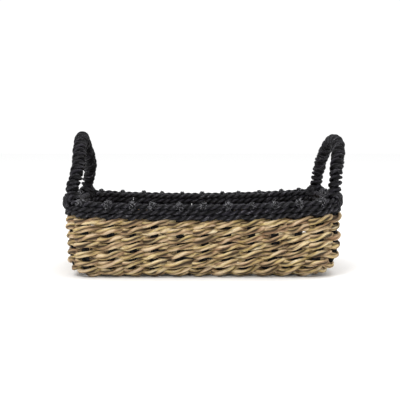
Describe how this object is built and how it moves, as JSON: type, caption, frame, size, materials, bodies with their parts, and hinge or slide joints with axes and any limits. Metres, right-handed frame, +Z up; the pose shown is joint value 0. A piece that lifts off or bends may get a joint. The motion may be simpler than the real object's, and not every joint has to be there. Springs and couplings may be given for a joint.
{
  "type": "bread basket",
  "caption": "Small rectangular twined basket in natural cord with a black bound rim and two upright hoop handles, for bread.",
  "frame": {"origin": "centre of the underside, on the surface that the basket rests on, in line with the middle of the rim", "axes": "+X along the basket's length from the left handle to the right handle, +Y from the front long wall to the rear one, +Z up"},
  "size_m": [0.2132, 0.1334, 0.1066],
  "materials": {
    "natural_strand": "dry twisted grass cord, tan with straw yellow and pinkish brown strands",
    "natural_base": "dry twisted grass cord, close twined",
    "black_rim_cord": "black dyed twisted grass cord with grey fibre glints",
    "black_stake": "black dyed grass cord",
    "handle_rod": "plain cane, hidden by its binding",
    "black_handle_binding": "black dyed cord bound round in close turns",
    "black_lashing": "black dyed cord in crossed turns"
  },
  "bodies": {
    "root": {"base_strip_1": "natural_base", "base_strip_2": "natural_base", "base_strip_3": "natural_base", "base_strip_4": "natural_base", "base_strip_5": "natural_base", "base_strip_6": "natural_base", "base_strip_7": "natural_base", "stake_cross_1": "black_stake", "stake_cross_2": "black_stake", "stake_cross_3": "black_stake", "stake_cross_4": "black_stake", "stake_cross_5": "black_stake", "stake_cross_6": "black_stake", "stake_cross_7": "black_stake", "stake_cross_8": "black_stake", "stake_cross_9": "black_stake", "stake_cross_10": "black_stake", "stake_cross_11": "black_stake", "stake_long_1": "black_stake", "stake_long_2": "black_stake", "stake_long_3": "black_stake", "stake_long_4": "black_stake", "stake_long_5": "black_stake", "stake_long_6": "black_stake", "stake_long_7": "black_stake", "wall_strand_1_a": "natural_strand", "wall_strand_1_b": "natural_strand", "wall_strand_2_a": "natural_strand", "wall_strand_2_b": "natural_strand", "wall_strand_3_a": "natural_strand", "wall_strand_3_b": "natural_strand", "wall_strand_4_a": "natural_strand", "wall_strand_4_b": "natural_strand", "wall_strand_5_a": "natural_strand", "wall_strand_5_b": "natural_strand", "wall_strand_6_a": "natural_strand", "wall_strand_6_b": "natural_strand", "wall_strand_7_a": "natural_strand", "wall_strand_7_b": "natural_strand", "rim_cord_outer_1": "black_rim_cord", "rim_cord_outer_2": "black_rim_cord", "rim_cord_outer_3": "black_rim_cord", "rim_cord_inner_1": "black_rim_cord", "rim_cord_inner_2": "black_rim_cord", "rim_cord_inner_3": "black_rim_cord", "handle_core_left": "handle_rod", "handle_core_right": "handle_rod", "handle_wrap_left": "black_handle_binding", "handle_wrap_right": "black_handle_binding", "handle_lashing_left_front": "black_lashing", "handle_lashing_left_rear": "black_lashing", "handle_lashing_right_front": "black_lashing", "handle_lashing_right_rear": "black_lashing"}
  },
  "joints": []
}
